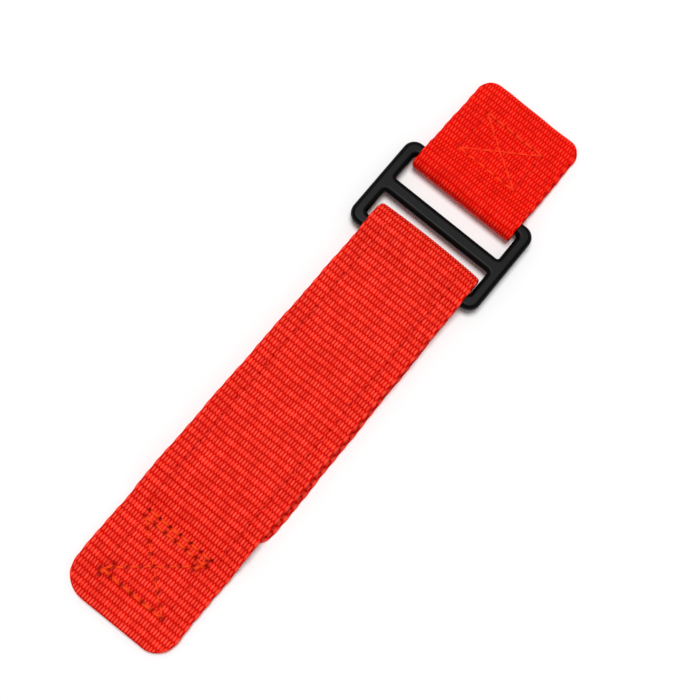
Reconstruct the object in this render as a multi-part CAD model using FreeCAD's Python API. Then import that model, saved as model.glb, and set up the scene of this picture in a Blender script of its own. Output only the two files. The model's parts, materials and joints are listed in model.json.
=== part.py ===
"""Cinch strap: one folded webbing on a two-window slide buckle, with a short sewn pull tab.

Millimetres. +X runs from the strap's tip to the pull tab, +Y across the webbing, +Z up.
The strap lies flat, as on a table, and the origin is under the middle of its bounding box.
"""
import FreeCAD, Part
import math
import os

os.makedirs("parts", exist_ok=True)

# Webbing and tapes
webbing_width = 38.0
webbing_thick = 1.5
hook_tape_thick = 1.2
loop_tape_thick = 1.2
tape_gap = 0.4              # room that the engaged hooks and loops take up
tape_width = 30.0
patch_width = 26.0
split_gap = 0.2             # between two bodies that share one webbing

# Slide buckle, one moulding: three bars across, two rails along
buckle_thick = 3.6
buckle_across = 48.7
buckle_corner_radius = 4.0
window_across = 39.8
window_corner_radius = 0.8
edge_radius = 1.5
strap_bar_start = 35.9      # the bar that the long strap wraps
strap_bar_wide = 4.5
strap_window_long = 9.1
middle_bar_wide = 5.2
tab_window_long = 9.8
tab_bar_wide = 4.1          # the bar that the pull tab wraps

# Long strap: the return run lies underneath, the front run on top of it
half_length = 100.3
return_end_x = -59.4
return_corner_radius = 8.0
hook_tape_end_x = 27.0
fold_end_x = 47.2
strap_bar_clearance = 2.45  # from the bar's axis to the inside of the fold, underneath
fold_tight_radius = 2.3     # of the webbing's middle, at the far end of the fold
fold_top_radius = 9.0
fold_top_angle = 45.0
fold_down_angle = 25.0      # the slope from over the bar down onto the stack
tip_joint_x = -60.0
tip_flat_x = -73.0
tip_corner_radii = (8.2, 7.4)   # +Y side, -Y side

# Pull tab: one short webbing, folded round the bar and sewn to itself
tab_inner_reach = 5.25      # from the bar's axis to the outside of the fold
tab_bar_clearance = 2.35    # from the bar's axis to the inside of the fold
tab_fold_angle = 40.0
tab_slope_angle = 30.0
tab_layer_gap = 0.1
tab_corner_radii = (4.8, 3.6)   # +Y side, -Y side

# Sewing thread
thread_wide = 0.7
thread_high = 0.3
stitch_pitch = 3.2
stitch_long = 2.5
box_stitch_pitch = 3.8
box_stitch_long = 3.0
diagonal_stitches = 7        # in each diagonal of a box
diagonal_inset = 1.8         # between a diagonal's end and the box's corner
long_row_y = 13.35
long_row_ends_x = (-67.4, 40.6)
tape_end_row_x = -69.0
cross_row_half = 11.4
tip_box_x = (-90.4, -71.2)
tip_box_side_y = 11.3
tip_box_diagonal_x = (-88.6, -73.6)
tip_box_side_stitches = 5
tab_box_x = (75.5, 90.2)
tab_box_y = (-10.0, 11.6)
tab_box_end_stitches = 6
tab_box_side_stitches = 4
joint_margin = 1.0          # bare webbing beside a bend or a box's corner
tape_margin = 2.0

# Worked out from the above
half_width = webbing_width / 2
half_thick = webbing_thick / 2
bar_axis_z = webbing_thick + strap_bar_clearance
strap_bar_x = strap_bar_start + strap_bar_wide / 2
middle_bar_x = strap_bar_start + strap_bar_wide + strap_window_long
tab_bar_start = middle_bar_x + middle_bar_wide + tab_window_long
tab_bar_x = tab_bar_start + tab_bar_wide / 2
buckle_end_x = tab_bar_start + tab_bar_wide
stack_under_front = webbing_thick + hook_tape_thick + tape_gap + loop_tape_thick
front_middle_z = stack_under_front + half_thick
tip_middle_z = hook_tape_thick + half_thick
tip_top_z = tip_middle_z + half_thick
tab_end = half_length - tab_bar_x               # from the bar's axis
tab_top_z = webbing_thick + tab_layer_gap / 2   # above the tab's own middle


# A path lies in the XZ plane. It is a start (x, z, heading) and a list of (length, curvature)
# stretches; a positive curvature turns to the left.

def advance(state, length, curvature):
    """The state after a stretch of the given length and curvature."""
    x, z, heading = state
    if curvature == 0:
        return (x + length * math.cos(heading), z + length * math.sin(heading), heading)
    end = heading + length * curvature
    x_end = x + (math.sin(end) - math.sin(heading)) / curvature
    z_end = z - (math.cos(end) - math.cos(heading)) / curvature
    return (x_end, z_end, end)


def arc(radius, degrees):
    """A stretch that turns by the given angle, to the left if it is positive."""
    angle = math.radians(degrees)
    return (radius * abs(angle), math.copysign(1 / radius, angle))


def length_of(stretches):
    return sum(length for length, curvature in stretches)


def cut(path, begin, end):
    """The part of a path between two distances along it."""
    state, stretches = path
    kept = []
    start = None
    at = 0.0
    for length, curvature in stretches:
        low = max(begin, at)
        high = min(end, at + length)
        if high - low > 1e-9:
            if start is None:
                start = advance(state, low - at, curvature)
            kept.append((high - low, curvature))
        state = advance(state, length, curvature)
        at += length
    return (start, kept)


def offset_point(state, offset, y):
    """The point at a distance to the left of the path."""
    x, z, heading = state
    return FreeCAD.Vector(x - offset * math.sin(heading), y, z + offset * math.cos(heading))


def offset_edges(path, offset, y):
    """The path's edges, moved to its left by the offset."""
    state, stretches = path
    edges = []
    for length, curvature in stretches:
        middle = advance(state, length / 2, curvature)
        end = advance(state, length, curvature)
        points = [offset_point(each, offset, y) for each in (state, middle, end)]
        if curvature == 0:
            edges.append(Part.LineSegment(points[0], points[2]).toShape())
        else:
            edges.append(Part.Arc(*points).toShape())
        state = end
    return edges, state


def slab(path, low, high, y_min, y_max):
    """A sheet that follows the path, between two offsets to its left and two Y values."""
    start = path[0]
    low_edges, end = offset_edges(path, low, y_min)
    high_edges, end = offset_edges(path, high, y_min)
    end_cap = Part.LineSegment(offset_point(end, low, y_min), offset_point(end, high, y_min)).toShape()
    start_cap = Part.LineSegment(offset_point(start, high, y_min), offset_point(start, low, y_min)).toShape()
    wire = Part.Wire(Part.__sortEdges__(low_edges + [end_cap] + high_edges + [start_cap]))
    return Part.Face(wire).extrude(FreeCAD.Vector(0, y_max - y_min, 0))


def round_end(solid, x, side, radius):
    """Rounds the corner, seen from above, at the end near x and on the given side of the middle."""
    reach = webbing_thick
    corner_edges = []
    for edge in solid.Edges:
        points = [vertex.Point for vertex in edge.Vertexes]
        at_end = all(abs(point.x - x) < reach for point in points)
        at_side = all(abs(point.y - side * half_width) < 0.01 for point in points)
        upright = edge.BoundBox.ZLength > 0.9 * webbing_thick
        if at_end and at_side and upright and len(points) == 2:
            corner_edges.append(edge)
    return solid.makeFillet(radius, corner_edges)


def export(node, shape):
    """Writes one node, after checking that it is made of sound closed solids."""
    solids = shape.Solids
    if not shape.isValid() or not solids or not all(solid.isClosed() for solid in solids):
        raise ValueError(node + " is not a sound closed solid")
    if len(solids) == 1:
        shape = solids[0]
    shape.exportStep("parts/" + node + ".step")
    print(node, len(solids), "solid(s),", round(shape.Volume, 1), "mm3")


# The long strap's path, along the middle of its webbing, from the return run's end over the bar
# to the tip. Its left side is the inside of the fold.

def long_path():
    fold_start_x = fold_end_x - half_thick - fold_tight_radius
    fold_turn = math.radians(fold_top_angle)
    crest_x = fold_start_x + (fold_tight_radius - fold_top_radius) * math.sin(fold_turn)
    crest_z = (half_thick + fold_tight_radius * (1 + math.cos(fold_turn))
               + fold_top_radius * (1 - math.cos(fold_turn)))
    down = math.radians(fold_down_angle)
    down_radius = (crest_z - front_middle_z) / (2 * (1 - math.cos(down)))
    peel_x = crest_x - 2 * down_radius * math.sin(down)
    tip_run = tip_joint_x - tip_flat_x
    tip_angle = 2 * math.atan((front_middle_z - tip_middle_z) / tip_run)
    tip_radius = tip_run / (2 * math.sin(tip_angle))
    tip_degrees = math.degrees(tip_angle)
    round_bar = [
        (fold_start_x - return_end_x, 0),
        arc(fold_tight_radius, 180 - fold_top_angle),
        arc(fold_top_radius, fold_top_angle),
        arc(down_radius, fold_down_angle),
        arc(down_radius, -fold_down_angle),
    ]
    front = [(peel_x - tip_joint_x, 0)]
    tip = [
        arc(tip_radius, tip_degrees),
        arc(tip_radius, -tip_degrees),
        (tip_flat_x + half_length, 0),
    ]
    start = (return_end_x, half_thick, 0.0)
    return (start, round_bar + front + tip), peel_x, length_of(round_bar), length_of(round_bar + front)


strap_path, peel_x, peel_at, tip_joint_at = long_path()
strap_cut_length = length_of(strap_path[1])


def front_distance(x):
    """The distance along the strap to a point on the front run, or on the tip's flat end."""
    if x > tip_joint_x:
        return peel_at + (peel_x - x)
    return strap_cut_length - (x + half_length)


def webbing(begin, end):
    return slab(cut(strap_path, begin, end), -half_thick, half_thick, -half_width, half_width)


def inner_tape(begin, end, thick, width):
    """A tape sewn to the inside of the fold."""
    return slab(cut(strap_path, begin, end), half_thick, half_thick + thick, -width / 2, width / 2)


def stitch(begin, end, y_min, y_max, low):
    """One stitch lying on the strap, from the offset low to a thread's height above it."""
    return slab(cut(strap_path, begin, end), low, low + thread_high, y_min, y_max)


def outer_stitch(begin, end, y_min, y_max):
    """One stitch on the outside of the fold."""
    return stitch(begin, end, y_min, y_max, -half_thick - thread_high)


def row_along(begin, end, low):
    """The two rows of stitches that run along the strap, one near each edge."""
    count = int((end - begin) / stitch_pitch)
    margin = (end - begin - (count - 1) * stitch_pitch - stitch_long) / 2
    stitches = []
    for index in range(count):
        at = begin + margin + index * stitch_pitch
        for side in (-1, 1):
            y_min = side * long_row_y - thread_wide / 2
            stitches.append(stitch(at, at + stitch_long, y_min, y_min + thread_wide, low))
    return stitches


def row_across(at):
    """One row of stitches across the outside of the strap."""
    count = int(2 * cross_row_half / box_stitch_pitch) + 1
    pitch = (2 * cross_row_half - box_stitch_long) / (count - 1)
    stitches = []
    for index in range(count):
        y_min = -cross_row_half + index * pitch
        stitches.append(outer_stitch(at, at + thread_wide, y_min, y_min + box_stitch_long))
    return stitches


def line_stitches(start, end, z, count, long):
    """Stitches in one straight line on a level face at height z."""
    run = FreeCAD.Vector(end[0] - start[0], end[1] - start[1], 0)
    angle = math.degrees(math.atan2(run.y, run.x))
    stitches = []
    for index in range(count):
        middle = (index + 0.5) / count
        bar = Part.makeBox(long, thread_wide, thread_high)
        bar.translate(FreeCAD.Vector(-long / 2, -thread_wide / 2, 0))
        bar.rotate(FreeCAD.Vector(0, 0, 0), FreeCAD.Vector(0, 0, 1), angle)
        bar.translate(FreeCAD.Vector(start[0] + middle * run.x, start[1] + middle * run.y, z))
        stitches.append(bar)
    return stitches


def diagonals(x_ends, y_ends, z):
    """The cross inside a box stitch: two diagonals, the second broken where it meets the first."""
    x_low, x_high = x_ends
    y_low, y_high = y_ends
    first = line_stitches((x_low, y_low), (x_high, y_high), z, diagonal_stitches, stitch_long)
    second = line_stitches((x_low, y_high), (x_high, y_low), z, diagonal_stitches, stitch_long)
    second.pop(diagonal_stitches // 2)
    return first + second


# Sub-parts

def buckle_frame():
    """The slide: a flat frame with two windows and every edge rounded."""
    low_z = bar_axis_z - buckle_thick / 2
    frame = Part.makeBox(buckle_end_x - strap_bar_start, buckle_across, buckle_thick,
                         FreeCAD.Vector(strap_bar_start, -buckle_across / 2, low_z))
    frame = frame.makeFillet(buckle_corner_radius, upright_edges(frame))
    for start, long in ((strap_bar_start + strap_bar_wide, strap_window_long),
                        (middle_bar_x + middle_bar_wide, tab_window_long)):
        window = Part.makeBox(long, window_across, buckle_thick,
                              FreeCAD.Vector(start, -window_across / 2, low_z))
        window = window.makeFillet(window_corner_radius, upright_edges(window))
        frame = frame.cut(window)
    level_edges = [edge for edge in frame.Edges if edge.BoundBox.ZLength < 0.01]
    return frame.makeFillet(edge_radius, level_edges)


def upright_edges(solid):
    return [edge for edge in solid.Edges if edge.BoundBox.ZLength > 0.5 * buckle_thick]


def return_webbing():
    """The lower run, with the fold round the bar, as far as the start of the front run."""
    solid = webbing(0, peel_at - split_gap / 2)
    for side in (1, -1):
        solid = round_end(solid, return_end_x, side, return_corner_radius)
    return solid


def tip_webbing():
    solid = webbing(tip_joint_at + split_gap / 2, strap_cut_length)
    for side, radius in zip((1, -1), tip_corner_radii):
        solid = round_end(solid, -half_length, side, radius)
    return solid


def tab_path():
    """The tab's path, from the lower layer's end round the bar to the upper layer's end.

    It lies in the tab's own frame, whose origin is the bar's axis.
    """
    half_height = tab_bar_clearance + half_thick
    reach = tab_inner_reach - half_thick
    bend = math.radians(tab_fold_angle)
    fold_side = half_height * math.sin(bend) - reach * (1 - math.cos(bend))
    tight = fold_side / (math.cos(bend) * math.sin(bend) - (1 - math.sin(bend)) * (1 - math.cos(bend)))
    wide = (half_height - tight * math.cos(bend)) / (1 - math.cos(bend))
    layer_z = half_thick + tab_layer_gap / 2
    slope = math.radians(tab_slope_angle)
    slope_radius = (half_height - layer_z) / (2 * (1 - math.cos(slope)))
    sewn_long = tab_end - 2 * slope_radius * math.sin(slope)
    stretches = [
        (sewn_long, 0),
        arc(slope_radius, tab_slope_angle),
        arc(slope_radius, -tab_slope_angle),
        arc(wide, -tab_fold_angle),
        arc(tight, -(180 - 2 * tab_fold_angle)),
        arc(wide, -tab_fold_angle),
        arc(slope_radius, -tab_slope_angle),
        arc(slope_radius, tab_slope_angle),
        (sewn_long, 0),
    ]
    return ((tab_end, -layer_z, math.pi), stretches)


def lay_tab_down(shape):
    """Hangs the tab on its bar and tilts it until its end rests on the surface."""
    tilt = math.degrees(math.asin((bar_axis_z - tab_top_z) / tab_end))
    shape.rotate(FreeCAD.Vector(0, 0, 0), FreeCAD.Vector(0, 1, 0), tilt)
    shape.translate(FreeCAD.Vector(tab_bar_x, 0, bar_axis_z))
    return shape


def tab_webbing():
    solid = slab(tab_path(), -half_thick, half_thick, -half_width, half_width)
    for side, radius in zip((1, -1), tab_corner_radii):
        solid = round_end(solid, tab_end, side, radius)
    return lay_tab_down(solid)


def tab_box_stitch():
    """The sewn box with a cross that holds the tab's two layers together."""
    x_low, x_high = (x - tab_bar_x for x in tab_box_x)
    y_low, y_high = tab_box_y
    stitches = []
    for x in (x_low, x_high):
        stitches += line_stitches((x, y_low), (x, y_high), tab_top_z, tab_box_end_stitches, box_stitch_long)
    for y in (y_low, y_high):
        stitches += line_stitches((x_low + joint_margin, y), (x_high - joint_margin, y), tab_top_z,
                                  tab_box_side_stitches, stitch_long)
    stitches += diagonals((x_low + diagonal_inset, x_high - diagonal_inset),
                          (y_low + diagonal_inset, y_high - diagonal_inset), tab_top_z)
    return lay_tab_down(Part.makeCompound(stitches))


def tip_box_stitch():
    """The sewn box with a cross that holds the hook patch under the tip."""
    x_low, x_high = tip_box_x
    stitches = []
    for x in tip_box_x:
        stitches += row_across(front_distance(x) - thread_wide / 2)
    for side in (-1, 1):
        y = side * tip_box_side_y
        stitches += line_stitches((tip_flat_x, y), (x_low + joint_margin, y), tip_top_z,
                                  tip_box_side_stitches, stitch_long)
    half = cross_row_half - diagonal_inset
    stitches += diagonals(tip_box_diagonal_x, (-half, half), tip_top_z)
    return Part.makeCompound(stitches)


def main():
    tape_start = tape_margin
    tape_end = hook_tape_end_x - return_end_x
    outer_low = -half_thick - thread_high
    tape_last_x = tape_end_row_x - joint_margin
    export("buckle_frame", buckle_frame())
    export("return_webbing", return_webbing())
    export("hook_tape", inner_tape(tape_start, tape_end, hook_tape_thick, tape_width))
    export("hook_tape_stitches",
           Part.makeCompound(row_along(tape_start, tape_end, half_thick + hook_tape_thick)))
    export("fold_stitches",
           Part.makeCompound(row_along(peel_at - (long_row_ends_x[1] - peel_x), peel_at - joint_margin,
                                       outer_low)))
    export("front_webbing", webbing(peel_at + split_gap / 2, tip_joint_at - split_gap / 2))
    export("loop_tape", inner_tape(peel_at + joint_margin, tip_joint_at - split_gap / 2,
                                   loop_tape_thick, tape_width))
    export("front_stitches",
           Part.makeCompound(row_along(peel_at + joint_margin, tip_joint_at - joint_margin, outer_low)))
    export("tip_webbing", tip_webbing())
    export("loop_tape_end", inner_tape(tip_joint_at + split_gap / 2, front_distance(tape_last_x),
                                       loop_tape_thick, tape_width))
    export("tape_end_stitches",
           Part.makeCompound(row_along(tip_joint_at + joint_margin, front_distance(long_row_ends_x[0]),
                                       outer_low)
                             + row_across(front_distance(tape_end_row_x) - thread_wide / 2)))
    export("tip_hook_patch", inner_tape(front_distance(tape_last_x - split_gap),
                                        front_distance(tip_box_x[0] - tape_margin),
                                        hook_tape_thick, patch_width))
    export("tip_box_stitch", tip_box_stitch())
    export("tab_webbing", tab_webbing())
    export("tab_box_stitch", tab_box_stitch())
    print("peel axis x", round(peel_x, 3), "bar axes x", strap_bar_x, tab_bar_x, "z", bar_axis_z)
    print("webbing cut length: strap", round(strap_cut_length, 1), "tab", round(length_of(tab_path()[1]), 1))


main()
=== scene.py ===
"""Looks of a folded webbing cinch strap on a two-window slide buckle, with a sewn pull tab.

Metres. Both webbings are real woven sheets: every float of the weave is a raised pad of the mesh,
laid along the same folded line as the CAD part. Threads, hooks and loops are separate pieces.
"""
import bpy
import json
import math
import random
import numpy as np
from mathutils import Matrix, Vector


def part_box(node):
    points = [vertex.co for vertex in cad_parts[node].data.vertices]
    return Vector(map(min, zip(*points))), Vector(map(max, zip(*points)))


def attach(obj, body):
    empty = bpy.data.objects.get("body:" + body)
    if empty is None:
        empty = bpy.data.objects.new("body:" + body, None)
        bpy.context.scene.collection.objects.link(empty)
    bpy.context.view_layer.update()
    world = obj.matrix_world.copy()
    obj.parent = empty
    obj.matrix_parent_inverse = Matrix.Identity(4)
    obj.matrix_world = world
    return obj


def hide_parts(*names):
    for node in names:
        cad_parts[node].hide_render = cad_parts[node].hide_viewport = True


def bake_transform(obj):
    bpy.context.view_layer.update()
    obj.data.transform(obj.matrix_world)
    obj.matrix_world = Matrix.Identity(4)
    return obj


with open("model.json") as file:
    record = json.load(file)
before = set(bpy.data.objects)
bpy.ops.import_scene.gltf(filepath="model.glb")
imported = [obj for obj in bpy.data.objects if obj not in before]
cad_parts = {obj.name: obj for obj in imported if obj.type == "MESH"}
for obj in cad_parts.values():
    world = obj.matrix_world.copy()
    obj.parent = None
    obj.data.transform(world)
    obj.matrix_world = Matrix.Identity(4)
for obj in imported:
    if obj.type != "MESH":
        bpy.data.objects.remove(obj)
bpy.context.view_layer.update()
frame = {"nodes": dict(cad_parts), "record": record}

MM = 0.001

# Weave: one rib is a row of floats across the webbing, one grain the width of a float
strap_rib = 2.22 * MM
tab_rib = 2.10 * MM
grain = 38.0 / 39 * MM
float_long = 1.08           # of a rib
float_wide = 0.95           # of a grain
float_high = 0.30 * MM
rib_steps = 7               # mesh rows to a rib
rib_steps_plain = 6         # the same on the run that lies underneath
edge_round = 0.7 * MM       # how far in from the selvage the webbing's edge is rounded
selvage_wave = 0.08 * MM    # scallops of the selvage, one to two ribs
float_square = 2.6          # how square the ends of a float are; 2 is round
tone_table = np.random.default_rng(5).uniform(0, 1, 4099)   # shades that the floats take in turn
tone_strides = (71, 293)    # steps through that table from one rib, and one grain, to the next
selvage_high = (0.55, 0.35) # the selvage's middle height, and how far it rises and falls with the ribs
edge_turns = np.radians([70, 48, 24, 0, -24, -48, -70])   # mesh columns round the webbing's edge
corner_rows = 13            # extra mesh rows where the corners of an end turn
corner_row_turn = 3         # degrees of the corner from one of them to the next
closest_rows = 0.02 * MM

# How the ribs and the grains wander: two waves each, as (how far, in what length)
rib_waves = ((0.11 * MM, 5.3 * MM), (0.05 * MM, 1.9 * MM))
grain_waves = ((0.08 * MM, 4.1 * MM), (0.04 * MM, 1.7 * MM))
rib_wave_skew = 9 * MM
grain_wave_skew = 6 * MM

# The strap's folded line
fold_tight_radius = 2.3 * MM
fold_top_radius = 9.0 * MM
fold_top_angle = 45.0
fold_down_angle = 25.0
tip_flat_x = -73.0 * MM
return_corner_radius = 8.0 * MM
tip_corner_radii = (8.2 * MM, 7.4 * MM)
fold_bulge = 0.55 * MM      # how far the fold's middle stands out past its sides
fold_corner_bulge = 0.35 * MM   # and how much further its very corners draw back
fold_corner_power = 24      # how suddenly they do
fold_bow_reach = 14 * MM    # how far along the strap from the fold that is felt
return_cut_x = 42 * MM      # where the return run's sheet meets the fold's
front_cut_x = -56.3 * MM    # where the front run's sheet meets the tip's

# The tab's folded line, in its own frame on the bar's axis
tab_inner_reach = 5.25 * MM
tab_bar_clearance = 2.35 * MM
tab_fold_angle = 40.0
tab_slope_angle = 30.0
tab_layer_gap = 0.1 * MM
tab_corner_radii = (4.8 * MM, 3.6 * MM)

# Sewing
thread_radius = 0.30 * MM
cross_thread_radius = 0.22 * MM
row_thread_radius = 0.17 * MM
long_row_y = 13.35 * MM
long_row_start_x = 40.6 * MM
long_row_end_x = -67.4 * MM
tape_end_row_x = -69.0 * MM
row_pitch = 3.3 * MM
long_row_gap = 0.15 * MM    # a gap is from a needle hole's middle to where the thread shows
tip_box_x = (-90.4 * MM, -71.2 * MM)
tip_box_half = 11.4 * MM
tip_stitches = {"end": 6, "side": 5, "cross": 8}
box_gap = 0.75 * MM
box_side_gap = 0.3 * MM
tack_out = 0.9 * MM         # the back-stitches at the box's corners start this far outside it
tack_in = 2.6 * MM          # and end this far inside
tack_gap = 0.2 * MM
tape_row_gap = 0.3 * MM
tab_box_x = (74.8 * MM, 90.0 * MM)
tab_box_y = (-10.4 * MM, 11.2 * MM)
tab_stitches = {"end": 6, "side": 4, "cross": 7}
tab_end_gap = 0.55 * MM
tab_side_gap = 0.2 * MM
tab_cross_gap = 0.15 * MM
strap_under_sunk = 1.3      # how far under the surface the underside's thread is based, in its radii
tab_under_sunk = 0.9
hole_deep = 0.34 * MM
groove_deep = 0.30 * MM
groove_half = 0.40 * MM
hole_fall = 1.5             # how steep a hole's side is
hole_reach = 2.5            # where a hole's mark has died away, in its radii

# Needle holes, as (radius, strength)
row_hole = (0.32 * MM, 0.8)
end_row_hole = (0.62 * MM, 1.0)
box_hole = (0.95 * MM, 0.72)
box_side_hole = (0.35 * MM, 0.5)
cross_hole = (0.75 * MM, 0.62)
tab_end_hole = (0.6 * MM, 0.45)
tab_hole = (0.4 * MM, 0.4)

# Thread
thread_rings = 13
thread_sides = 9
thread_arch = 3.5           # how square a stitch's rise and fall is
twist_pitch = 5.5           # a ply's advance in a third of a turn, in radii
ply_deep = 0.13             # of the radius

# Hook and loop tapes
ground_thick = 0.42 * MM
ground_bedding = 0.04 * MM  # how far the ground is let into the webbing
knit_row = 0.5 * MM         # the ground's mesh rows
knit_column = 0.2 * MM      # and columns
knit_rib = 0.8 * MM
knit_deep = 0.10 * MM
hook_row = 1.5 * MM
hook_column = 1.15 * MM
hook_line = ((0, -0.05), (0, 0.3), (0.03, 0.5), (0.14, 0.64), (0.30, 0.66), (0.42, 0.56), (0.46, 0.42))
hook_radius = 0.085 * MM
hook_sides = 5
hook_stray = 0.06           # mm, and so are the points of both lines
hook_clear = 0.45 * MM      # no hook or loop stands closer than this to a stitch
loops_per_mm2 = 1.3
loop_line = ((-0.30, -0.05), (-0.40, 0.35), (-0.20, 0.62), (0.08, 0.70), (0.34, 0.55), (0.34, 0.25),
             (0.2, -0.05))
loop_radius = 0.05 * MM
loop_sides = 3
loop_clear = 0.4 * MM

# Floor, light and camera
floor_half = 3.0
floor_shade = 0.97
room_strength = 0.34
sun_strength = 2.3
sun_spread = 26             # degrees
sun_towards = (0.05, 0.10, 0.9)
camera_lens = 78.8
camera_place = (-0.0963, -0.0343, 0.4454)
camera_turn = (12.457, -5.024, -51.080)   # degrees

# Places taken from the frame
tip_end_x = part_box("tip_webbing")[0][0]
return_end_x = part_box("return_webbing")[0][0]
fold_end_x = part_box("return_webbing")[1][0]
webbing_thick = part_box("hook_tape")[0][2]
half_thick = webbing_thick / 2
half_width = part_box("front_webbing")[1][1]
front_middle_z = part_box("front_webbing")[0][2] + half_thick
tip_middle_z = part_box("tip_webbing")[0][2] + half_thick
tab_end_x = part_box("tab_webbing")[1][0]
tape_half_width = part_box("hook_tape")[1][1]
patch_half_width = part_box("tip_hook_patch")[1][1]
joints = {joint["name"]: joint for joint in frame["record"]["behaviour"]["joints"]}
peel_x = joints["front_peel"]["pos_m"][0]
tip_joint_x = joints["tip_lift"]["pos_m"][0]
tab_bar_x, _, bar_z = joints["tab_swing"]["pos_m"]


# Lines in the XZ plane. A start is (x, z, heading); a stretch is (length, curvature), and a positive
# curvature turns to the left.

def arc(radius, degrees):
    """A round stretch, to the left where degrees is positive."""
    angle = math.radians(degrees)
    return (radius * abs(angle), math.copysign(1 / radius, angle))


class Line:
    """A smooth line made of straight and round stretches, measured by the distance along it."""

    def __init__(self, start, stretches):
        x, z, heading = start
        self.table = []
        at = 0.0
        for length, curvature in stretches:
            self.table.append((at, x, z, heading, curvature))
            x, z, heading = self.step(x, z, heading, curvature, length)
            at += length
        self.length = at
        self.table = np.array(self.table)

    @staticmethod
    def step(x, z, heading, curvature, length):
        bend = curvature if abs(curvature) > 1e-9 else 1e-9
        end = heading + bend * length
        return (x + (np.sin(end) - np.sin(heading)) / bend, z - (np.cos(end) - np.cos(heading)) / bend, end)

    def at(self, distance):
        """x, z and heading at each distance."""
        distance = np.asarray(distance, float)
        index = np.clip(np.searchsorted(self.table[:, 0], distance, side="right") - 1, 0, len(self.table) - 1)
        start, x, z, heading, curvature = np.moveaxis(self.table[index], -1, 0)
        bend = np.where(np.abs(curvature) > 1e-9, curvature, 1e-9)
        end = heading + bend * (distance - start)
        return (x + (np.sin(end) - np.sin(heading)) / bend, z - (np.cos(end) - np.cos(heading)) / bend, end)


def strap_line():
    """From the return run's end, round the bar and back over to the tip.

    The inside of the fold is on the left.
    """
    fold_start_x = fold_end_x - half_thick - fold_tight_radius
    turn = math.radians(fold_top_angle)
    crest_x = fold_start_x + (fold_tight_radius - fold_top_radius) * math.sin(turn)
    down_radius = (crest_x - peel_x) / (2 * math.sin(math.radians(fold_down_angle)))
    tip_run = tip_joint_x - tip_flat_x
    tip_angle = 2 * math.atan((front_middle_z - tip_middle_z) / tip_run)
    tip_radius = tip_run / (2 * math.sin(tip_angle))
    stretches = [
        (fold_start_x - return_end_x, 0),
        arc(fold_tight_radius, 180 - fold_top_angle),
        arc(fold_top_radius, fold_top_angle),
        arc(down_radius, fold_down_angle),
        arc(down_radius, -fold_down_angle),
        (peel_x - tip_joint_x, 0),
        arc(tip_radius, math.degrees(tip_angle)),
        arc(tip_radius, -math.degrees(tip_angle)),
        (tip_flat_x - tip_end_x, 0),
    ]
    line = Line((return_end_x, half_thick, 0.0), stretches)
    line.peel_at = sum(length for length, curvature in stretches[:5])
    return line


def tab_line():
    """From the lower layer's end, round the bar to the upper layer's end, with the outside on the left."""
    half_height = tab_bar_clearance + half_thick
    reach = tab_inner_reach - half_thick
    bend = math.radians(tab_fold_angle)
    fold_side = half_height * math.sin(bend) - reach * (1 - math.cos(bend))
    tight = fold_side / (math.cos(bend) * math.sin(bend) - (1 - math.sin(bend)) * (1 - math.cos(bend)))
    wide = (half_height - tight * math.cos(bend)) / (1 - math.cos(bend))
    layer_z = half_thick + tab_layer_gap / 2
    slope = math.radians(tab_slope_angle)
    slope_radius = (half_height - layer_z) / (2 * (1 - math.cos(slope)))
    tab_long = tab_end_x - tab_bar_x
    top_z = webbing_thick + tab_layer_gap / 2
    tilt = math.asin((bar_z - top_z) / tab_long)
    sewn_long = tab_long - 2 * slope_radius * math.sin(slope)
    start_x = tab_bar_x + tab_long * math.cos(tilt) - layer_z * math.sin(tilt)
    start_z = bar_z - tab_long * math.sin(tilt) - layer_z * math.cos(tilt)
    stretches = [
        (sewn_long, 0),
        arc(slope_radius, tab_slope_angle),
        arc(slope_radius, -tab_slope_angle),
        arc(wide, -tab_fold_angle),
        arc(tight, -(180 - 2 * tab_fold_angle)),
        arc(wide, -tab_fold_angle),
        arc(slope_radius, -tab_slope_angle),
        arc(slope_radius, tab_slope_angle),
        (sewn_long, 0),
    ]
    return Line((start_x, start_z, math.pi - tilt), stretches)


strap = strap_line()
tab = tab_line()
strap.outside = -1          # the outside of the fold is on the right of the strap's line
tab.outside = 1
strap.rib, tab.rib = strap_rib, tab_rib
strap.narrower, tab.narrower = (0, 0), (0.15 * MM, 0.45 * MM)


def front_distance(x):
    """The distance along the strap to a point of its front run or tip."""
    distances = np.linspace(strap.peel_at, strap.length, 2000)
    return float(np.interp(-x, -strap.at(distances)[0], distances))


# How the lines wander sideways as the webbing lies, and how the folds bow

def strap_drift(distance):
    """The strap lies a little askew: the return run's end peeps out on the -Y side."""
    stations = np.array([0, 98, 122, 185, 245, 257]) * MM
    drift = np.array([-1.45, -0.65, -0.65, 0.0, 0.42, 0.2]) * MM
    return np.interp(distance, stations, drift)


def tab_drift(distance):
    """The tab's layers lie a little askew of each other."""
    stations = np.array([0, 36, 44, 80]) * MM
    drift = np.array([-0.35, 0.1, 0.35, 0.3]) * MM
    return np.interp(distance, stations, drift)


def strap_bow(distance, y):
    """The fold's corners draw back towards the tip."""
    fold_at = fold_end_x - return_end_x
    near = np.clip(1 - np.abs(distance - fold_at) / fold_bow_reach, 0, 1)
    near = near * near * (3 - 2 * near)
    out = y / half_width
    return -near * (fold_bulge * out ** 2 + fold_corner_bulge * out ** fold_corner_power)


def tab_bow(distance, y):
    """The tab's fold is straight."""
    return np.zeros(np.broadcast(distance, y).shape)


strap.drift, strap.bow = strap_drift, strap_bow
tab.drift, tab.bow = tab_drift, tab_bow


def place(line, distance, y, out):
    """The point at a height out on the line's outside; a negative height is on its inside."""
    x, z, heading = line.at(distance)
    left = line.outside * out
    px = x - left * np.sin(heading) + line.bow(distance, y)
    pz = z + left * np.cos(heading)
    py = y + line.drift(distance)
    return np.stack(np.broadcast_arrays(px, py, pz), axis=-1)


# Weave

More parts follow.
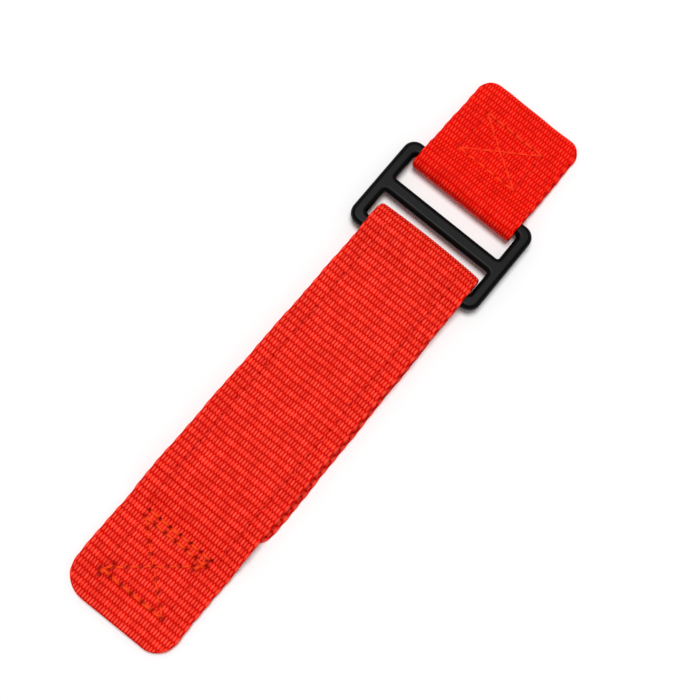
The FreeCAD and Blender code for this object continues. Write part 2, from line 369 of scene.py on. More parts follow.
def weave(distance, y, rib):
    """How high the weave stands, from 0 in its gaps to 1 on its floats, and each float's shade.

    The floats lie in a brick pattern.
    """
    rib_index = np.round(distance / rib)
    high = np.zeros(np.broadcast(distance, y).shape)
    tone = np.full(high.shape, 0.5)
    for beside in (-1, 0, 1):
        index = rib_index + beside
        shift = 0.5 * np.mod(index, 2)
        cell = np.round(y / grain - shift)
        along = np.abs(distance - index * rib) / (float_long * rib / 2)
        across = np.abs(y / grain - shift - cell) / (float_wide / 2)
        turn = index * tone_strides[0] + cell * tone_strides[1]
        shade = tone_table[np.mod(turn, len(tone_table)).astype(int)]
        this = np.sqrt(np.clip(1 - along ** float_square - across ** 2, 0, 1)) * (0.86 + 0.14 * shade)
        tone = np.where(this > high, shade, tone)
        high = np.maximum(high, this)
    return high, tone


def wander(distance, y):
    """Ribs and grains are never quite straight."""
    (far, long), (near, short) = rib_waves
    along = far * np.sin(y / long) + near * np.sin(y / short + distance / rib_wave_skew)
    (far, long), (near, short) = grain_waves
    across = far * np.sin(distance / long) + near * np.sin(distance / short + y / grain_wave_skew)
    return distance + along, y + across


def corner_width(from_end, radius):
    """The half width at a distance from an end with a rounded corner."""
    inside = np.clip(radius - from_end, 0, radius)
    return half_width - radius + np.sqrt(np.maximum(radius ** 2 - inside ** 2, 0))


def row_places(begin, end, step, begin_radius, end_radius):
    """Distances of the mesh rows, closer together where an end's corners turn."""
    rows = list(np.arange(math.ceil(begin / step), math.floor(end / step) + 1) * step)
    rows = [row for row in rows if begin < row < end] + [begin, end]
    for edge, inward, radius in ((begin, 1, begin_radius), (end, -1, end_radius)):
        for turn in range(1, corner_rows + 1):
            if radius > 0:
                rows.append(edge + inward * radius * (1 - math.cos(math.radians(corner_row_turn * turn))))
    rows = np.unique(np.round(rows, 7))
    keep = np.concatenate([[True], np.diff(rows) > closest_rows])
    return rows[keep]


def section_places(steps_out, steps_in):
    """One loop round the webbing's section, as the arrays share, angle and side.

    share is the place across, as a share of the flat half width. angle is 90 degrees on the outside,
    -90 on the inside and between them round an edge. side is 1 and -1 round the +Y and -Y edges, and 0
    on both faces.
    """
    flat = half_width - edge_round
    out_y = np.linspace(-flat, flat, 2 * round(flat / grain * steps_out) + 1)
    in_y = np.linspace(flat, -flat, 2 * round(flat / grain * steps_in) + 1)
    edge = np.ones(len(edge_turns))
    outside, inside = np.ones(len(out_y)), np.ones(len(in_y))
    share = np.concatenate([out_y, edge * flat, in_y, -edge * flat]) / flat
    angle = np.concatenate([outside * np.pi / 2, edge_turns, -inside * np.pi / 2, -edge_turns])
    side = np.concatenate([outside * 0, edge, inside * 0, -edge])
    return share, angle, side


def bake_layout(count, rows, columns):
    """A place of its own on a flat map for every face of a set of closed tubes.

    Each tube has a square cell, with its wall on the left and the discs of its two ends on the right.
    """
    wall_size, wall_margin = (0.86, 0.96), 0.02
    disc_radius, disc_places = 0.04, ((0.94, 0.25), (0.94, 0.75))
    wide = math.ceil(math.sqrt(count))
    row, column = np.meshgrid(np.arange(rows - 1), np.arange(columns), indexing="ij")
    corners = [np.stack([row + over, column + around], axis=-1)
               for over, around in ((0, 0), (1, 0), (1, 1), (0, 1))]
    wall = np.stack(corners, axis=2).reshape(-1, 2) / (rows - 1, columns) * wall_size + wall_margin
    turn = np.linspace(0, 2 * np.pi, columns, endpoint=False)
    disc = np.stack([np.cos(turn), np.sin(turn)], axis=-1) * disc_radius
    tube = np.concatenate([wall, disc + disc_places[0], disc[::-1] + disc_places[1]])
    cell = np.stack([np.arange(count) % wide, np.arange(count) // wide], axis=-1)
    return ((cell[:, None, :] + tube) / wide).reshape(-1, 2)


def make_mesh(name, points, faces, material, uv=None, tubes=None, attributes=()):
    """A mesh object. tubes is (count, rows, columns) where the mesh is a set of closed tubes."""
    mesh = bpy.data.meshes.new(name)
    mesh.from_pydata(points.reshape(-1, 3).tolist(), [], faces)
    for attribute_name, values in attributes:
        attribute = mesh.attributes.new(attribute_name, "FLOAT", "POINT")
        attribute.data.foreach_set("value", np.asarray(values, np.float32).ravel())
    if uv is not None:
        corner = np.empty(len(mesh.loops), np.int32)
        mesh.loops.foreach_get("vertex_index", corner)
        layer = mesh.uv_layers.new(name="Weave")
        layer.data.foreach_set("uv", uv.reshape(-1, 2)[corner].astype(np.float32).ravel())
        layer = mesh.uv_layers.new(name="OFBake")
        layer.data.foreach_set("uv", bake_layout(*tubes).astype(np.float32).ravel())
    mesh.polygons.foreach_set("use_smooth", [len(face) == 4 for face in faces])
    mesh.materials.append(material)
    mesh.update()
    piece = bpy.data.objects.new(name, mesh)
    bpy.context.scene.collection.objects.link(piece)
    return piece


def tube_faces(rows, columns, first=0):
    """Quads of a closed tube of rows and columns, with a polygon over each end."""
    index = first + np.arange(rows * columns).reshape(rows, columns)
    around = np.roll(index, -1, axis=1)
    quads = np.stack([index[:-1], index[1:], around[1:], around[:-1]], axis=-1).reshape(-1, 4)
    return quads.tolist() + [index[0].tolist(), index[-1][::-1].tolist()]


def sewn_marks(holes, distance, y):
    """How deep each point is in a needle hole: a hole is (distance, y, radius, strength)."""
    mark = np.zeros(np.broadcast(distance, y).shape)
    rows = distance[:, 0]
    for hole_distance, hole_y, radius, strength in holes:
        near = np.abs(rows - hole_distance) < hole_reach * radius
        away = ((distance[near] - hole_distance) ** 2 + (y[near] - hole_y) ** 2) / radius ** 2
        mark[near] = np.maximum(mark[near], strength * np.exp(-away ** hole_fall))
    return mark


def woven_strip(name, line, begin, end, material, steps=(5, 2), holes=(), radii=((0, 0), (0, 0)),
                row_steps=rib_steps, groove_y=None):
    """A closed woven sheet along part of a line. radii are the corner radii (+Y, -Y) at its two ends.

    groove_y is how far from the middle two rows of thread are drawn into its outside.
    """
    rib = line.rib
    rows = row_places(begin, end, rib / row_steps, max(radii[0]), max(radii[1]))
    share, angle, side = (values[::line.outside] for values in section_places(*steps))
    distance = np.repeat(rows[:, None], len(share), axis=1)
    width_plus, width_minus = (
        np.minimum(corner_width(rows - begin, radii[0][hand]), corner_width(end - rows, radii[1][hand]))
        for hand in (0, 1))
    narrower = np.interp(np.abs(rows - line.length / 2), (0, line.length / 2), line.narrower)[:, None]
    flat_width = np.where(share >= 0, width_plus[:, None], width_minus[:, None]) - edge_round - narrower
    wave = selvage_wave * np.cos(np.pi * distance / rib) * np.abs(side)
    y = share * flat_width + side * (edge_round + wave) * np.cos(angle)
    # Each column is drawn in only as far as the corner needs, so the weave isn't squeezed
    straight = share * (half_width - edge_round)
    y_face = np.clip(straight, -flat_width, flat_width)
    y = np.where(side == 0, y_face, y)
    high, tone = weave(distance, y, rib)
    high = np.where(side == 0, high, selvage_high[0] + selvage_high[1] * np.cos(np.pi * distance / rib))
    mark = sewn_marks(holes, distance, y) if len(holes) else np.zeros_like(high)
    mark = np.where(angle > 0, mark, 0)
    out = (half_thick - float_high * (1 - high)) * np.sin(angle) - hole_deep * mark
    if groove_y is not None:
        out -= groove_deep * np.exp(-((np.abs(y) - groove_y) / groove_half) ** 2) * (angle > 0)
    points = place(line, *wander(distance, y), out)
    faces = tube_faces(*distance.shape)
    uv = np.stack([distance, y + (angle < 0) * 0.1], axis=-1)
    marks = (("relief", high), ("tone", tone), ("mark", mark))
    return make_mesh(name, points, faces, material, uv, (1, *distance.shape), marks)


# Sewing

def stitches_between(start, end, count, gap):
    """Evenly spaced stitches (distance, y) to (distance, y) in one straight row."""
    start, end = np.array(start, float), np.array(end, float)
    spots = [start + (end - start) * index / count for index in range(count + 1)]
    pull = (end - start) / np.linalg.norm(end - start) * gap
    return [(first + pull, second - pull) for first, second in zip(spots[:-1], spots[1:])]


def holes_of(stitches, radius, strength, gap=0.0):
    """The needle holes, a gap beyond both ends of each stitch."""
    holes = []
    for start, end in stitches:
        pull = (end - start) / np.linalg.norm(end - start) * gap
        holes += [(*(start - pull), radius, strength), (*(end + pull), radius, strength)]
    return holes


def thread_piece(name, line, stitches, radius, material, seed, rise=0.55, sink=0.5, strands=1,
                 stray=0.1 * MM, side=1, base=half_thick):
    """Lengths of three-ply thread, each coming up out of one hole and going down another.

    side is 1 on the line's outside and -1 on its inside. base is how far the sewn surface is from the
    line, and rise and sink are how far the thread comes out of it and goes into it, in diameters.
    """
    rings, sides = thread_rings, thread_sides
    rng = random.Random(seed)
    points, uv = [], []
    along = np.linspace(0, 1, rings)
    around = np.linspace(0, 2 * np.pi, sides, endpoint=False)
    arch = 1 - np.abs(2 * along - 1) ** thread_arch
    lengths = [stitch for stitch in stitches for strand in range(strands)]
    for start, end in lengths:
        thick = radius * rng.uniform(0.9, 1.1)
        start, end = (spot + np.array([rng.uniform(-stray, stray), rng.uniform(-stray, stray)])
                      for spot in (start, end))
        spot = np.outer(1 - along, start) + np.outer(along, end)
        lift = base + 2 * radius * (arch * (rise + sink) * rng.uniform(0.9, 1.1) - sink)
        middle = place(line, spot[:, 0], spot[:, 1], side * lift)
        above = place(line, spot[:, 0], spot[:, 1], side * (lift + MM))
        tangent = np.gradient(middle, axis=0)
        tangent /= np.linalg.norm(tangent, axis=1)[:, None]
        across = np.cross(tangent, above - middle)
        across /= np.linalg.norm(across, axis=1)[:, None]
        up = np.cross(across, tangent)
        run = np.linalg.norm(np.diff(middle, axis=0), axis=1).sum()
        twist = along[:, None] * run / (twist_pitch * radius) * 2 * np.pi / 3
        reach = thick * (1 + ply_deep * np.cos(3 * (around[None, :] - twist)))[..., None]
        turned = (np.cos(around)[None, :, None] * across[:, None, :]
                  + np.sin(around)[None, :, None] * up[:, None, :])
        points.append(middle[:, None, :] + reach * turned)
        uv.append(np.stack(np.broadcast_arrays(along[:, None] * run, around[None, :] * radius), axis=-1))
    faces = []
    for index in range(len(lengths)):
        faces += tube_faces(rings, sides, first=index * rings * sides)
    return make_mesh(name, np.array(points), faces, material, np.array(uv), (len(lengths), rings, sides))


# Hook and loop tapes, on the inside of the webbing

def tape_ground(name, begin, end, half, material):
    """The thin knitted ground of a tape, with fine ribs along it."""
    rows = np.linspace(begin, end, round((end - begin) / knit_row) + 1)
    flat = np.linspace(-half, half, 2 * round(half / knit_column) + 1)
    y = np.concatenate([flat, flat[::-1]])
    face = np.concatenate([np.ones(len(flat)), np.zeros(len(flat))])
    distance, y = np.meshgrid(rows, y, indexing="ij")
    knit = np.abs(np.sin(np.pi * y / knit_rib)) * (0.8 + 0.2 * np.cos(2 * np.pi * distance / MM))
    out = -half_thick - face * (ground_thick - knit_deep * (1 - knit)) + ground_bedding * (1 - face)
    points = place(strap, distance, y, out)
    uv = np.stack([distance, y + (1 - face) * 0.1], axis=-1)
    return make_mesh(name, points, tube_faces(*distance.shape), material, uv, (1, *distance.shape),
                     (("relief", knit * face),))


def fibre_field(name, spots, profile, radius, sides, material):
    """Small bent fibres standing on a tape's ground. A spot is (distance, y, angle, size)."""
    run, rise = np.array(profile).T * MM
    turn = np.arctan2(np.gradient(rise), np.gradient(run))[:, None]
    around = np.linspace(0, 2 * np.pi, sides, endpoint=False)
    ring_run = run[:, None] - radius * np.sin(turn) * np.cos(around)
    ring_rise = rise[:, None] + radius * np.cos(turn) * np.cos(around)
    ring_side = radius * np.sin(around) * np.ones_like(turn)
    distance, y, angle, size = (column[:, None, None] for column in np.array(spots).T)
    along = size * ring_run * np.cos(angle) - ring_side * np.sin(angle)
    across = size * ring_run * np.sin(angle) + ring_side * np.cos(angle)
    points = place(strap, distance + along, y + across, -(half_thick + ground_thick + size * ring_rise))
    faces = []
    for index in range(len(spots)):
        faces += tube_faces(len(run), sides, first=index * len(run) * sides)
    uv = np.stack(np.broadcast_arrays(distance + along, y + across), axis=-1)
    return make_mesh(name, points, faces, material, uv, (len(spots), len(run), sides))


def clear_of(stitches, distance, y, gap):
    """Whether a point lies further than gap from every stitch."""
    for (d0, y0), (d1, y1) in stitches:
        long, wide = d1 - d0, y1 - y0
        share = ((distance - d0) * long + (y - y0) * wide) / (long ** 2 + wide ** 2)
        share = min(1, max(0, share))
        if math.hypot(distance - d0 - share * long, y - y0 - share * wide) < gap:
            return False
    return True


def hook_spots(begin, end, half, stitches, seed):
    """Rows of hooks that face to and fro by turns."""
    rng = random.Random(seed)
    spots = []
    rows = int((end - begin - MM) / hook_row)
    columns = int((2 * half - MM) / hook_column)
    for row in range(rows):
        for column in range(columns):
            distance = begin + MM + row * hook_row + rng.uniform(-hook_stray, hook_stray) * MM
            y = (column - (columns - 1) / 2) * hook_column + rng.uniform(-hook_stray, hook_stray) * MM
            if clear_of(stitches, distance, y, hook_clear):
                angle = math.pi * (column % 2) + rng.uniform(-0.2, 0.2)
                spots.append((distance, y, angle, rng.uniform(0.93, 1.0)))
    return spots


def loop_spots(begin, end, half, stitches, seed):
    """A soft pile of loops in every direction."""
    rng = random.Random(seed)
    spots = []
    for index in range(int((end - begin) * 2 * half * loops_per_mm2 / MM ** 2)):
        distance = rng.uniform(begin, end)
        y = rng.uniform(-half + loop_clear, half - loop_clear)
        angle, size = rng.uniform(0, 2 * math.pi), rng.uniform(0.55, 1.0)
        if clear_of(stitches, distance, y, loop_clear):
            spots.append((distance, y, angle, size))
    return spots


# Materials

def new_material(name):
    """A material with its nodes, its links and its Principled shader."""
    material = bpy.data.materials.new(name)
    material.use_nodes = True
    nodes = material.node_tree.nodes
    shader = next(node for node in nodes if node.type == "BSDF_PRINCIPLED")
    return material, nodes, material.node_tree.links, shader


def add_node(nodes, kind, **settings):
    """A node with its inputs, or else its own properties, set by name."""
    node = nodes.new(kind)
    for key, value in settings.items():
        if key in node.inputs.keys():
            node.inputs[key].default_value = value
        else:
            setattr(node, key, value)
    return node


def mix_colours(nodes, links, factor, first, second, blend="MIX"):
    """A colour mix; each of the three inputs is a socket or a constant."""
    mix = nodes.new("ShaderNodeMix")
    mix.data_type = "RGBA"
    mix.blend_type = blend
    for socket, value in ((mix.inputs[0], factor), (mix.inputs[6], first), (mix.inputs[7], second)):
        if hasattr(value, "links"):
            links.new(value, socket)
        else:
            socket.default_value = value
    return mix.outputs[2]


def stretched_noise(nodes, links, source, along, across, detail=2.0):
    """Noise on the map's own coordinates, along by across metres to a blotch."""
    mapping = add_node(nodes, "ShaderNodeMapping")
    mapping.inputs["Scale"].default_value = (1 / along, 1 / across, 1)
    links.new(source, mapping.inputs["Vector"])
    noise = add_node(nodes, "ShaderNodeTexNoise", Scale=1.0, Detail=detail)
    links.new(mapping.outputs["Vector"], noise.inputs["Vector"])
    return noise.outputs["Fac"]


def webbing_material(name, top, body, deep):
    """Woven polyester: painted highlights on the tops of its floats and painted shade in its gaps, both picked
    by the weave's height, with fine filaments along each float.
    """
    material, nodes, links, shader = new_material(name)
    place_map = add_node(nodes, "ShaderNodeUVMap", uv_map="Weave").outputs["UV"]
    relief = add_node(nodes, "ShaderNodeAttribute", attribute_name="relief").outputs["Fac"]
    tone = add_node(nodes, "ShaderNodeAttribute", attribute_name="tone").outputs["Fac"]
    mark = add_node(nodes, "ShaderNodeAttribute", attribute_name="mark").outputs["Fac"]
    # The weave's height picks the colour: painted shade in the gaps (deep), the red body, and a painted pale
    # highlight on the floats' tops (top).
    ramp = add_node(nodes, "ShaderNodeValToRGB")
    stops = ramp.color_ramp.elements
    stops[0].position, stops[0].color = 0.10, deep
    stops[1].position, stops[1].color = 0.97, top
    middle = stops.new(0.52)
    middle.color = body
    links.new(relief, ramp.inputs["Fac"])
    patches = stretched_noise(nodes, links, place_map, 16 * MM, 6 * MM)
    filaments = stretched_noise(nodes, links, place_map, 0.16 * MM, 2.2 * MM, detail=3.0)
    colour = ramp.outputs["Color"]
    for source, dark, light in ((patches, 0.90, 1.10), (filaments, 0.84, 1.12), (tone, 0.90, 1.06)):
        shade = mix_colours(nodes, links, source, (dark, dark * 0.9, dark * 0.9, 1), (light, light, light, 1))
        colour = mix_colours(nodes, links, 1.0, colour, shade, blend="MULTIPLY")
    # Painted shade: each needle hole darkens to near black, on top of its modelled dimple.
    colour = mix_colours(nodes, links, mark, colour, (0.15, 0.0, 0.0, 1))
    links.new(colour, shader.inputs["Base Color"])
    rough = add_node(nodes, "ShaderNodeMapRange")
    rough.inputs["To Min"].default_value = 0.46
    rough.inputs["To Max"].default_value = 0.66
    links.new(filaments, rough.inputs["Value"])
    links.new(rough.outputs["Result"], shader.inputs["Roughness"])
    bump = add_node(nodes, "ShaderNodeBump", Strength=0.6, Distance=0.00006)
    links.new(filaments, bump.inputs["Height"])
    links.new(bump.outputs["Normal"], shader.inputs["Normal"])
    shader.inputs["Specular IOR Level"].default_value = 0.035
    shader.inputs["Sheen Weight"].default_value = 0.01
    shader.inputs["Sheen Roughness"].default_value = 0.4
    shader.inputs["Sheen Tint"].default_value = (1.0, 0.25, 0.2, 1)
    return material


def thread_material(name, dark, light):
    """Sewing thread with fine plies and a slightly blotchy dye."""
    material, nodes, links, shader = new_material(name)
    place_map = add_node(nodes, "ShaderNodeUVMap", uv_map="Weave").outputs["UV"]
    patches = stretched_noise(nodes, links, place_map, 2.5 * MM, 1.5 * MM)
    plies = stretched_noise(nodes, links, place_map, 1.2 * MM, 0.09 * MM)
    colour = mix_colours(nodes, links, patches, dark, light)
    links.new(colour, shader.inputs["Base Color"])
    bump = add_node(nodes, "ShaderNodeBump", Strength=0.5, Distance=0.00004)
    links.new(plies, bump.inputs["Height"])
    links.new(bump.outputs["Normal"], shader.inputs["Normal"])
    shader.inputs["Roughness"].default_value = 0.55
    shader.inputs["Specular IOR Level"].default_value = 0.2
    return material


def tape_material(name, dark, light, roughness, sheen):
    """Hook or loop tape: each fibre takes the dye a little differently."""
    material, nodes, links, shader = new_material(name)
    place_map = add_node(nodes, "ShaderNodeUVMap", uv_map="Weave").outputs["UV"]
    fibres = stretched_noise(nodes, links, place_map, 0.35 * MM, 0.35 * MM)
    patches = stretched_noise(nodes, links, place_map, 7 * MM, 5 * MM)
    colour = mix_colours(nodes, links, fibres, dark, light)
    shade = mix_colours(nodes, links, patches, (0.82, 0.82, 0.82, 1), (1.1, 1.1, 1.1, 1))
    colour = mix_colours(nodes, links, 1.0, colour, shade, blend="MULTIPLY")
    links.new(colour, shader.inputs["Base Color"])
    bump = add_node(nodes, "ShaderNodeBump", Strength=0.4, Distance=0.00005)
    links.new(fibres, bump.inputs["Height"])
    links.new(bump.outputs["Normal"], shader.inputs["Normal"])
    shader.inputs["Roughness"].default_value = roughness
    shader.inputs["Specular IOR Level"].default_value = 0.2
    shader.inputs["Sheen Weight"].default_value = sheen
    shader.inputs["Sheen Tint"].default_value = (1.0, 0.3, 0.25, 1)
    return material


def buckle_material():
    """Black moulded acetal: a fine spark-eroded grain and a faintly uneven gloss."""
    material, nodes, links, shader = new_material("buckle")
    position = add_node(nodes, "ShaderNodeTexCoord").outputs["Object"]
    grit = add_node(nodes, "ShaderNodeTexNoise", Scale=2600.0, Detail=3.0)
    cloud = add_node(nodes, "ShaderNodeTexNoise", Scale=140.0, Detail=3.0)
    links.new(position, grit.inputs["Vector"])
    links.new(position, cloud.inputs["Vector"])
    dark, light = (0.0008, 0.0008, 0.001, 1), (0.0028, 0.0028, 0.0032, 1)
    colour = mix_colours(nodes, links, cloud.outputs["Fac"], dark, light)
    links.new(colour, shader.inputs["Base Color"])
    rough = add_node(nodes, "ShaderNodeMapRange")
    rough.inputs["To Min"].default_value = 0.30
    rough.inputs["To Max"].default_value = 0.44
    links.new(cloud.outputs["Fac"], rough.inputs["Value"])
    links.new(rough.outputs["Result"], shader.inputs["Roughness"])
    bump = add_node(nodes, "ShaderNodeBump", Strength=0.25, Distance=0.00004)
    links.new(grit.outputs["Fac"], bump.inputs["Height"])
    links.new(bump.outputs["Normal"], shader.inputs["Normal"])
    shader.inputs["Specular IOR Level"].default_value = 0.08
    return material


# Build

# top is a painted highlight for the floats' tops, and deep is painted shade for the weave's gaps.
strap_red = webbing_material("strap_webbing", top=(1.0, 0.100, 0.058, 1), body=(0.88, 0.010, 0.002, 1),
                             deep=(0.44, 0.0, 0.0, 1))
tab_red = webbing_material("tab_webbing", top=(1.0, 0.050, 0.022, 1), body=(0.94, 0.004, 0.0, 1),
                           deep=(0.50, 0.0, 0.0, 1))
thread = thread_material("thread", dark=(0.86, 0.030, 0.001, 1), light=(1.0, 0.080, 0.005, 1))
tab_thread = thread_material("tab_thread", dark=(0.95, 0.018, 0.001, 1), light=(1.0, 0.050, 0.003, 1))
row_thread = thread_material("row_thread", dark=(0.60, 0.003, 0.0, 1), light=(0.85, 0.014, 0.003, 1))
hook_red = tape_material("hook_tape", dark=(0.62, 0.004, 0.002, 1), light=(0.90, 0.020, 0.010, 1),
                         roughness=0.38, sheen=0.0)
loop_red = tape_material("loop_tape", dark=(0.60, 0.004, 0.002, 1), light=(0.92, 0.022, 0.010, 1),
                         roughness=0.85, sheen=0.15)
black = buckle_material()

buckle = frame["nodes"]["buckle_frame"]
for material_slot in buckle.material_slots:
    material_slot.material = black


def between_ribs(distance):
    """The nearest gap between two ribs, where a cut between two pieces can't be seen."""
    return (round(distance / strap_rib) + 0.5) * strap_rib


def column_stitches(x):
    """The row across the strap at x."""
    at = front_distance(x)
    return stitches_between((at, -tip_box_half), (at, tip_box_half), tip_stitches["end"], box_gap)


def sewn_rows():
    """The strap's stitches: long rows, the tape's end row, and the tip box's ends, sides and cross."""
    rows_start = strap.peel_at - (long_row_start_x - peel_x)
    rows_end = front_distance(long_row_end_x)
    count = round((rows_end - rows_start) / row_pitch)
    long_rows = []
    for side in (-1, 1):
        row_y = side * long_row_y
        long_rows += stitches_between((rows_start, row_y), (rows_end, row_y), count, long_row_gap)
    far, near = (front_distance(x) for x in tip_box_x)
    sides = []
    for side in (-1, 1):
        side_y = side * tip_box_half
        sides += stitches_between((near, side_y), (far, side_y), tip_stitches["side"], box_side_gap)
    cross = []
    for side in (-1, 1):
        side_y = side * tip_box_half
        cross += stitches_between((near, side_y), (far, -side_y), tip_stitches["cross"], box_gap)
    box = column_stitches(tip_box_x[0]) + column_stitches(tip_box_x[1])
    for at, inward, side in ((near, 1, -1), (far, -1, 1)):
        corner = np.array((at, side * (tip_box_half - MM)))
        box += stitches_between(corner + (-tack_out * inward, 0), corner + (tack_in * inward, -side * MM),
                                2, tack_gap)
    return long_rows, column_stitches(tape_end_row_x), box, sides, cross


def carry(piece, part):
    """Which body a piece of the strap moves with: the return run's with strap_base, the tip patch's with
    strap_tip; the others only have their place baked in.
    """
    if part == "lower":
        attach(piece, "strap_base")
    elif part == "patch":
        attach(piece, "strap_tip")
    elif part == "fold":
        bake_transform(piece)
    else:
        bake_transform(piece)


def build_strap():
    """The long webbing in three lengths, and the thread on its upper side."""
    long_rows, end_row, box, sides, cross = sewn_rows()
    row_holes = holes_of(long_rows, *row_hole)
    box_holes = holes_of(box, *box_hole, box_gap) + holes_of(end_row, *end_row_hole, box_gap)
    box_holes += holes_of(cross, *cross_hole, box_gap) + holes_of(sides, *box_side_hole)
    lower = woven_strip("strap_return_run", strap, 0, under_cut, strap_red, steps=(4, 2),
                        radii=((return_corner_radius,) * 2, (0, 0)), row_steps=rib_steps_plain,
                        groove_y=long_row_y)
    fold = woven_strip("strap_fold_and_front", strap, under_cut, front_cut, strap_red,
                       holes=[hole for hole in row_holes if hole[0] < front_cut + 2 * MM])
    tip = woven_strip("strap_front_and_tip", strap, front_cut, strap.length, strap_red,
                      holes=box_holes + [hole for hole in row_holes if hole[0] > front_cut - 2 * MM],
                      radii=((0, 0), tip_corner_radii))
    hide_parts("return_webbing")
    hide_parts("front_webbing")
    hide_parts("tip_webbing")
    lengths = (under_cut, front_cut - under_cut, strap.length - front_cut)
    for piece, part, length in zip((lower, fold, tip), ("lower", "fold", "tip"), lengths):
        carry(piece, part)

    fold_rows = [stitch for stitch in long_rows if stitch[0][0] < front_cut]
    tip_rows = [stitch for stitch in long_rows if stitch[0][0] >= front_cut]
    sunk = {"rise": 0.0, "sink": 0.8}
    messy = {"strands": 4, "stray": 0.38 * MM}
    loose = {"rise": 0.2, "strands": 2, "stray": 0.3 * MM}
    fold_thread = thread_piece("front_row_thread", strap, fold_rows, row_thread_radius, row_thread,
                               seed=3, **sunk)
    tip_thread = thread_piece("front_row_thread_end", strap, tip_rows + sides, row_thread_radius, row_thread,
                              seed=4, **sunk)
    box_thread = thread_piece("tip_box_thread", strap, box + end_row, thread_radius, thread,
                              seed=5, rise=0.8, **messy)
    cross_thread = thread_piece("tip_cross_thread", strap, cross, cross_thread_radius, thread,
                                seed=6, **loose)
    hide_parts("fold_stitches", "front_stitches")
    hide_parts("tape_end_stitches")
    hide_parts("tip_box_stitch")
    threads = ((fold_thread, "fold"), (tip_thread, "tip"), (box_thread, "tip"), (cross_thread, "tip"))
    for piece, part in threads:
        carry(piece, part)


def build_tape(name, begin, end, half, part, stitches, kind, seed, node):
    """One length of tape: its ground, its hooks or loops, and the thread that holds it to the webbing."""
    material = hook_red if kind == "hook" else loop_red
    ground = tape_ground(name + "_ground", begin, end, half, material)
    if kind == "hook":
        spots = hook_spots(begin, end, half, stitches, seed)
        pile = fibre_field(name + "_hooks", spots, hook_line, hook_radius, hook_sides, material)
    else:
        spots = loop_spots(begin, end, half, stitches, seed)
        pile = fibre_field(name + "_loops", spots, loop_line, loop_radius, loop_sides, material)
    sewn = thread_piece(name + "_thread", strap, stitches, row_thread_radius, row_thread, seed + 1, rise=0.5,
                        sink=0.6, side=-1, base=half_thick + ground_thick)
    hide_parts(node)
    for piece in (ground, pile, sewn):
        carry(piece, part)
    return sewn


def build_tapes():
    """The hook tape on the return run, the loop tape on the front run, and the tip's hook patch."""
    long_rows, end_row, box, sides, cross = sewn_rows()
    hook_begin, hook_end = (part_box("hook_tape")[corner][0] - return_end_x for corner in (0, 1))
    hook_rows = []
    for side in (-1, 1):
        row_y = side * long_row_y
        hook_rows += stitches_between((hook_begin + MM, row_y), (hook_end - MM, row_y),
                                      round((hook_end - hook_begin) / row_pitch), tape_row_gap)
    sewn = build_tape("hook_tape", hook_begin, hook_end, tape_half_width, "lower", hook_rows, "hook", 11,
                      "hook_tape")
    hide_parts("hook_tape_stitches")
    under_thread = thread_piece("return_run_thread", strap, hook_rows, row_thread_radius, row_thread,
                                seed=21, rise=0, sink=0.6,
                                base=half_thick - strap_under_sunk * row_thread_radius)
    carry(under_thread, "lower")
    loop_begin = front_distance(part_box("loop_tape")[1][0])
    loop_end = front_distance(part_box("loop_tape_end")[0][0])
    fold_rows = [stitch for stitch in long_rows if loop_begin < stitch[0][0] < front_cut]
    tip_rows = [stitch for stitch in long_rows if stitch[0][0] >= front_cut]
    build_tape("loop_tape", loop_begin, front_cut, tape_half_width, "fold", fold_rows, "loop", 31,
               "loop_tape")
    build_tape("loop_tape_end", front_cut, loop_end, tape_half_width, "tip", tip_rows + end_row, "loop", 41,
               "loop_tape_end")
    patch_begin, patch_end = (front_distance(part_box("tip_hook_patch")[corner][0]) for corner in (1, 0))
    build_tape("tip_patch", patch_begin, patch_end, patch_half_width, "patch", box + sides + cross, "hook", 51,
               "tip_hook_patch")


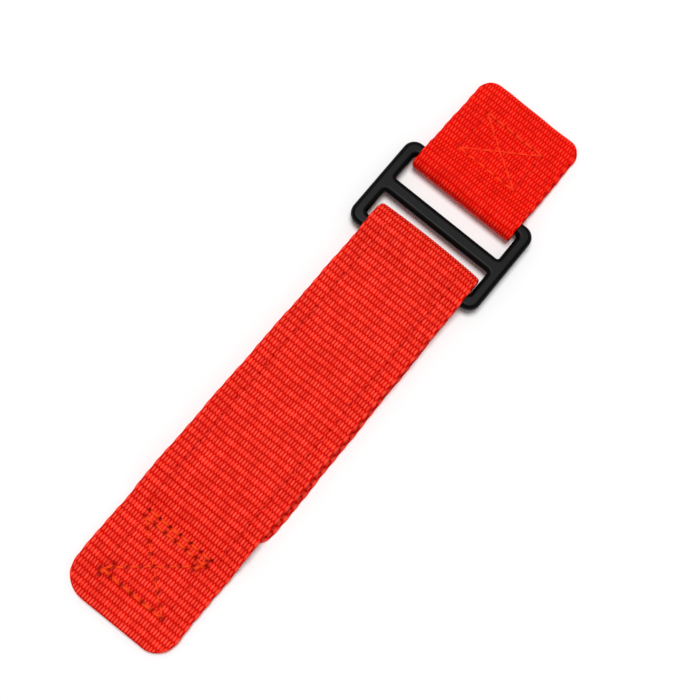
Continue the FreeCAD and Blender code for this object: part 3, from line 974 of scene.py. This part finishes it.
def build_tab():
    """The pull tab and the box with a cross that sews its two layers together."""
    def top(x):
        return tab.length - (tab_end_x - x)

    (x_near, x_far), (y_low, y_high) = tab_box_x, tab_box_y
    ends = []
    for x in tab_box_x:
        ends += stitches_between((top(x), y_low), (top(x), y_high), tab_stitches["end"], tab_end_gap)
    sides = []
    for y in tab_box_y:
        sides += stitches_between((top(x_near), y), (top(x_far), y), tab_stitches["side"], tab_side_gap)
    cross = []
    for y_first, y_last in ((y_low, y_high), (y_high, y_low)):
        cross += stitches_between((top(x_near), y_first), (top(x_far), y_last), tab_stitches["cross"],
                                  tab_cross_gap)
    holes = holes_of(ends, *tab_end_hole, tab_end_gap) + holes_of(sides + cross, *tab_hole)
    sheet = woven_strip("tab_webbing_folded", tab, 0, tab.length, tab_red, steps=(4, 2), holes=holes,
                        radii=(tab_corner_radii, tab_corner_radii))
    # The same stitches on the lower layer, which lies the other way along the tab's line
    low_end = np.array((tab.length, 0))
    below = [(low_end - start * (1, -1), low_end - end * (1, -1)) for start, end in ends + sides + cross]
    end_thread = thread_piece("tab_box_thread", tab, ends, thread_radius, tab_thread, seed=7,
                              strands=3, stray=0.35 * MM)
    side_thread = thread_piece("tab_side_thread", tab, sides, row_thread_radius, row_thread, seed=8, rise=0.2)
    cross_thread = thread_piece("tab_cross_thread", tab, cross, cross_thread_radius, tab_thread, seed=9,
                                rise=0.2, strands=2, stray=0.3 * MM)
    under_thread = thread_piece("tab_under_thread", tab, below, row_thread_radius, row_thread, seed=10,
                                rise=0, sink=0.6, base=half_thick - tab_under_sunk * row_thread_radius)
    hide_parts("tab_webbing")
    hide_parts("tab_box_stitch")
    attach(sheet, "pull_tab")
    for piece in (end_thread, side_thread, cross_thread, under_thread):
        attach(piece, "pull_tab")


def build_floor():
    """A plain pale floor at the strap's underside."""
    side = floor_half
    points = np.array([(-side, -side, 0), (side, -side, 0), (side, side, 0), (-side, side, 0)], float)
    material, nodes, links, shader = new_material("floor")
    shader.inputs["Base Color"].default_value = (floor_shade, floor_shade, floor_shade, 1)
    shader.inputs["Roughness"].default_value = 0.9
    floor = make_mesh("floor", points, [(0, 1, 2, 3)], material)


def build_light():
    """A white room and one broad soft light from above, like a studio tent."""
    world = bpy.data.worlds.new("studio")
    world.use_nodes = True
    background = world.node_tree.nodes["Background"]
    background.inputs["Color"].default_value = (1, 1, 1, 1)
    background.inputs["Strength"].default_value = room_strength
    bpy.context.scene.world = world
    light = bpy.data.lights.new("overhead", "SUN")
    light.energy = sun_strength
    light.angle = math.radians(sun_spread)
    lamp = bpy.data.objects.new("overhead", light)
    lamp.rotation_euler = Vector(sun_towards).to_track_quat("Z", "Y").to_euler()
    bpy.context.scene.collection.objects.link(lamp)
    bpy.context.scene.view_settings.view_transform = "Standard"


def build_camera():
    """Looks down on the strap from over its tip, turned so that the strap runs up to the right."""
    lens = bpy.data.cameras.new("camera")
    lens.sensor_width = 36.0
    lens.lens = camera_lens
    camera = bpy.data.objects.new("camera", lens)
    camera.location = camera_place
    camera.rotation_euler = tuple(math.radians(angle) for angle in camera_turn)
    bpy.context.scene.collection.objects.link(camera)
    bpy.context.scene.camera = camera


under_cut = between_ribs(return_cut_x - return_end_x)
front_cut = between_ribs(front_distance(front_cut_x))
build_strap()
build_tapes()
build_tab()
build_floor()
build_light()
build_camera()
